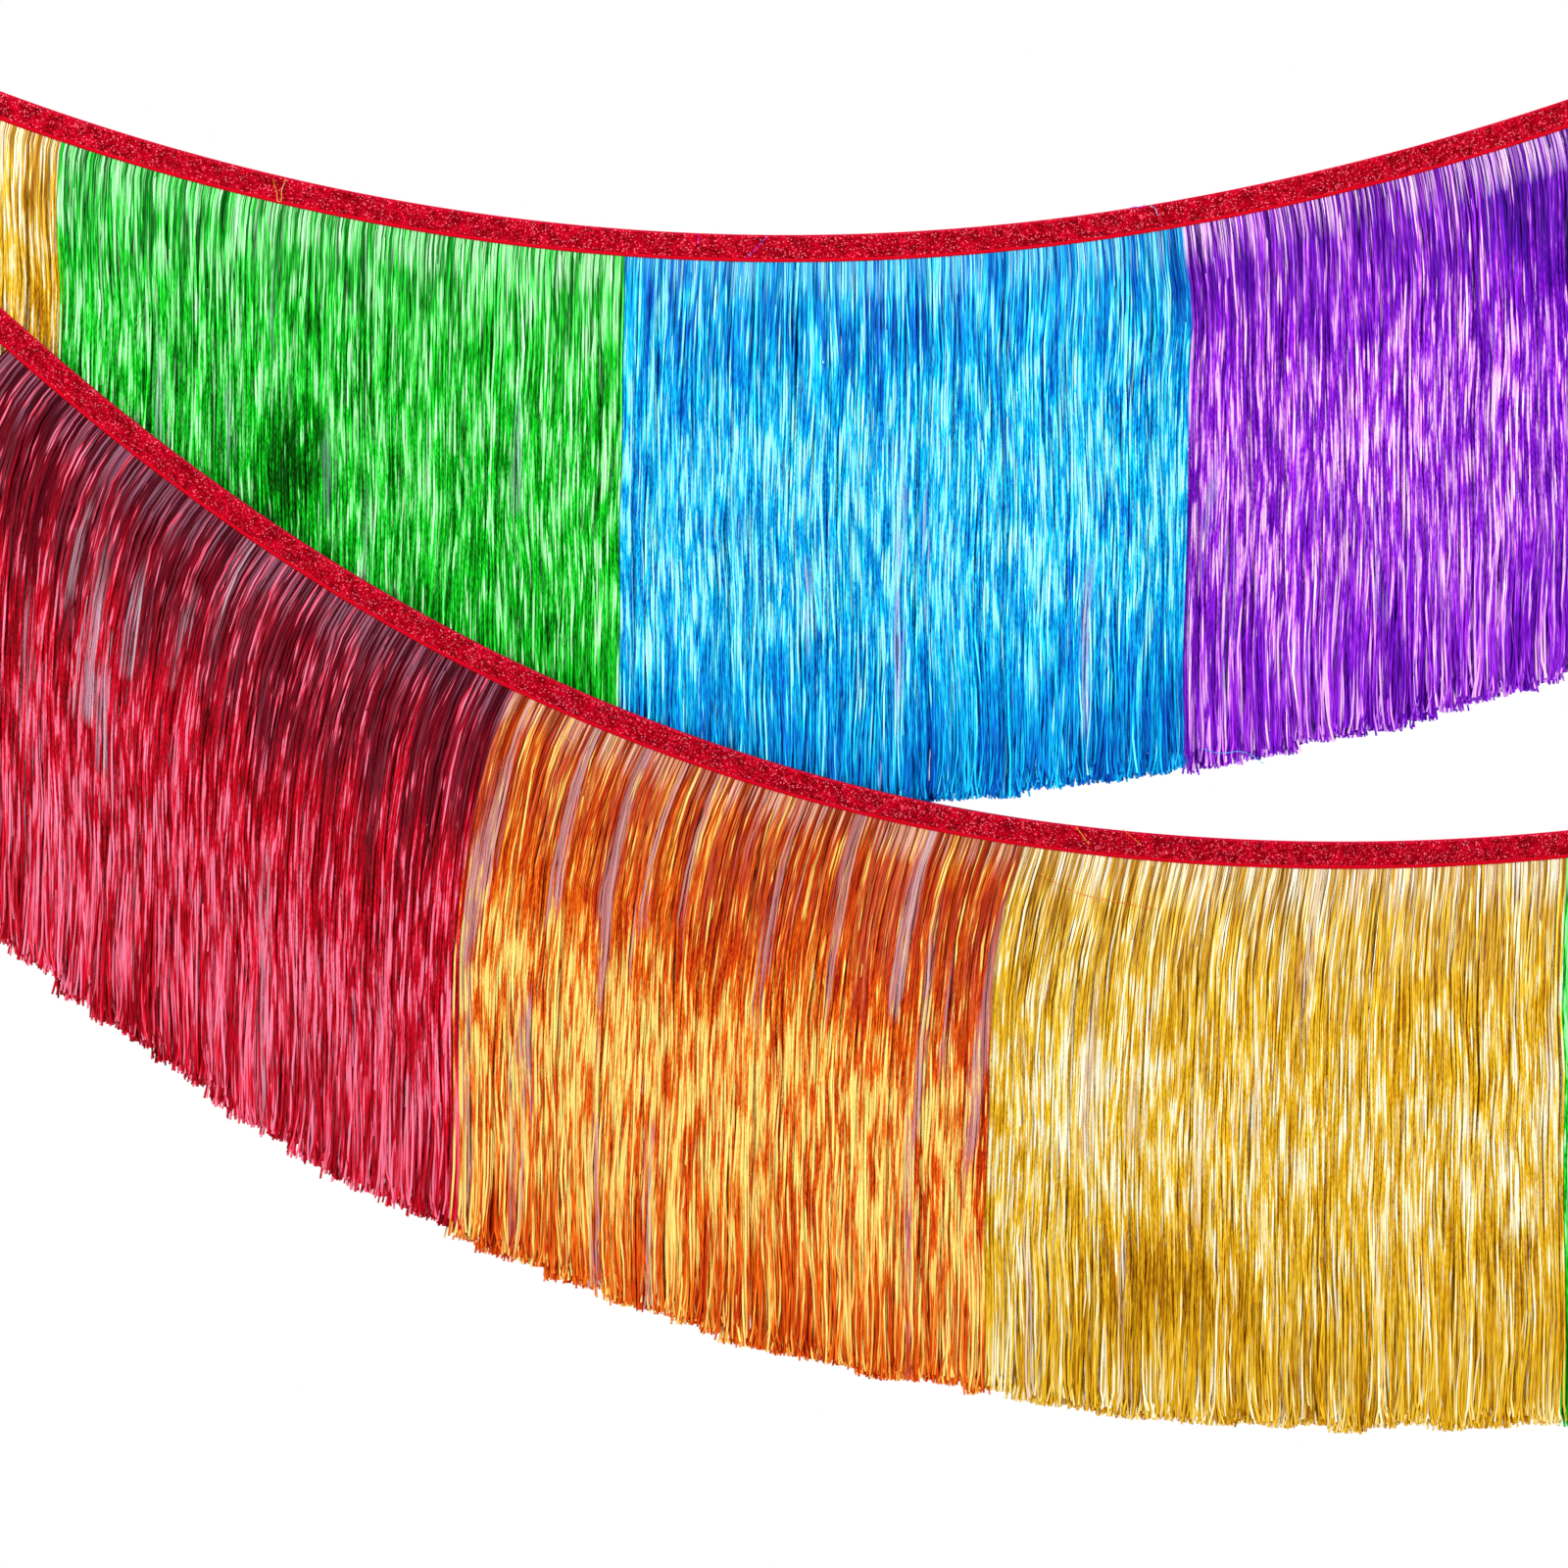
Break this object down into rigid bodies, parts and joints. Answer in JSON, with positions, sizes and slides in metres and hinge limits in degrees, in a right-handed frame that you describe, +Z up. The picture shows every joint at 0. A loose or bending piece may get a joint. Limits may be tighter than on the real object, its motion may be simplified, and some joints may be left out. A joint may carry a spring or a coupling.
{
  "type": "foil fringe garland",
  "caption": "Two hanging swags of folded glitter tape, each with a row of coloured foil fringe panels that sway, and ribbon loops at the ends.",
  "frame": {"origin": "the hanging point at the upper left, inside the ribbon loop that both swags share", "axes": "+X along the garland to the right as seen from the front, +Z up, -Y towards the front, where the lower swag hangs"},
  "size_m": [1.0483, 0.0164, 0.6088],
  "materials": {
    "red_tape": "deep red glitter-coated ribbon",
    "red_ribbon": "plain woven red ribbon",
    "foil_heading": "uncut metallised film",
    "clear_glue": "hot-melt bead",
    "gold_foil": "metallised gold film",
    "green_foil": "metallised green film",
    "blue_foil": "metallised blue film",
    "purple_foil": "metallised purple film",
    "red_foil": "metallised red film",
    "orange_foil": "metallised orange film"
  },
  "bodies": {
    "tapes": {"upper_tape": "red_tape", "lower_tape": "red_tape", "left_hanging_loop": "red_ribbon", "upper_right_loop_tongue": "red_ribbon", "lower_right_loop_tongue": "red_ribbon", "upper_gold_heading": "foil_heading", "upper_gold_glue": "clear_glue", "upper_green_heading": "foil_heading", "upper_green_glue": "clear_glue", "upper_blue_heading": "foil_heading", "upper_blue_glue": "clear_glue", "upper_purple_heading": "foil_heading", "upper_purple_glue": "clear_glue", "lower_red_heading": "foil_heading", "lower_red_glue": "clear_glue", "lower_orange_heading": "foil_heading", "lower_orange_glue": "clear_glue", "lower_gold_heading": "foil_heading", "lower_gold_glue": "clear_glue", "lower_green_heading": "foil_heading", "lower_green_glue": "clear_glue"},
    "upper_gold_panel": {"upper_gold_fringe": "gold_foil"},
    "upper_green_panel": {"upper_green_fringe": "green_foil"},
    "upper_blue_panel": {"upper_blue_fringe": "blue_foil"},
    "upper_purple_panel": {"upper_purple_fringe": "purple_foil"},
    "lower_red_panel": {"lower_red_fringe": "red_foil"},
    "lower_orange_panel": {"lower_orange_fringe": "orange_foil"},
    "lower_gold_panel": {"lower_gold_fringe": "gold_foil"},
    "lower_green_panel": {"lower_green_fringe": "green_foil"},
    "upper_right_eye": {"upper_right_loop": "red_ribbon"},
    "lower_right_eye": {"lower_right_loop": "red_ribbon"}
  },
  "joints": [
    {"name": "upper_gold_sway", "type": "hinge", "parent": "tapes", "child": "upper_gold_panel", "pos_m": [0.15357, 0.004, -0.0921], "axis": [0.9016, 0, -0.4327], "range_deg": [0, 40]},
    {"name": "upper_green_sway", "type": "hinge", "parent": "tapes", "child": "upper_green_panel", "pos_m": [0.34883, 0.004, -0.15755], "axis": [0.9799, 0, -0.1996], "range_deg": [0, 50]},
    {"name": "upper_blue_sway", "type": "hinge", "parent": "tapes", "child": "upper_blue_panel", "pos_m": [0.55315, 0.004, -0.1729], "axis": [0.9986, 0, 0.0532], "range_deg": [0, 40]},
    {"name": "upper_purple_sway", "type": "hinge", "parent": "tapes", "child": "upper_purple_panel", "pos_m": [0.75325, 0.004, -0.13844], "axis": [0.9607, 0, 0.2778], "range_deg": [-50, 50]},
    {"name": "lower_red_sway", "type": "hinge", "parent": "tapes", "child": "lower_red_panel", "pos_m": [0.31798, -0.004, -0.27463], "axis": [0.8285, 0, -0.56], "range_deg": [-40, 0]},
    {"name": "lower_orange_sway", "type": "hinge", "parent": "tapes", "child": "lower_orange_panel", "pos_m": [0.50293, -0.004, -0.36445], "axis": [0.9564, 0, -0.2919], "range_deg": [-50, 0]},
    {"name": "lower_gold_sway", "type": "hinge", "parent": "tapes", "child": "lower_gold_panel", "pos_m": [0.69426, -0.004, -0.39403], "axis": [0.9998, 0, -0.0214], "range_deg": [-40, 40]},
    {"name": "lower_green_sway", "type": "hinge", "parent": "tapes", "child": "lower_green_panel", "pos_m": [0.89358, -0.004, -0.37614], "axis": [0.9821, 0, 0.1885], "range_deg": [-50, 50]},
    {"name": "upper_loop_fold", "type": "hinge", "parent": "tapes", "child": "upper_right_eye", "pos_m": [0.87985, 0.004, -0.09055], "axis": [-0.371, 0, 0.9286], "range_deg": [-45, 45], "stiffness_Nm_per_rad": 0.0002},
    {"name": "lower_loop_fold", "type": "hinge", "parent": "tapes", "child": "lower_right_eye", "pos_m": [1.02423, -0.004, -0.34067], "axis": [-0.274, 0, 0.9617], "range_deg": [-45, 45], "stiffness_Nm_per_rad": 0.0002}
  ]
}
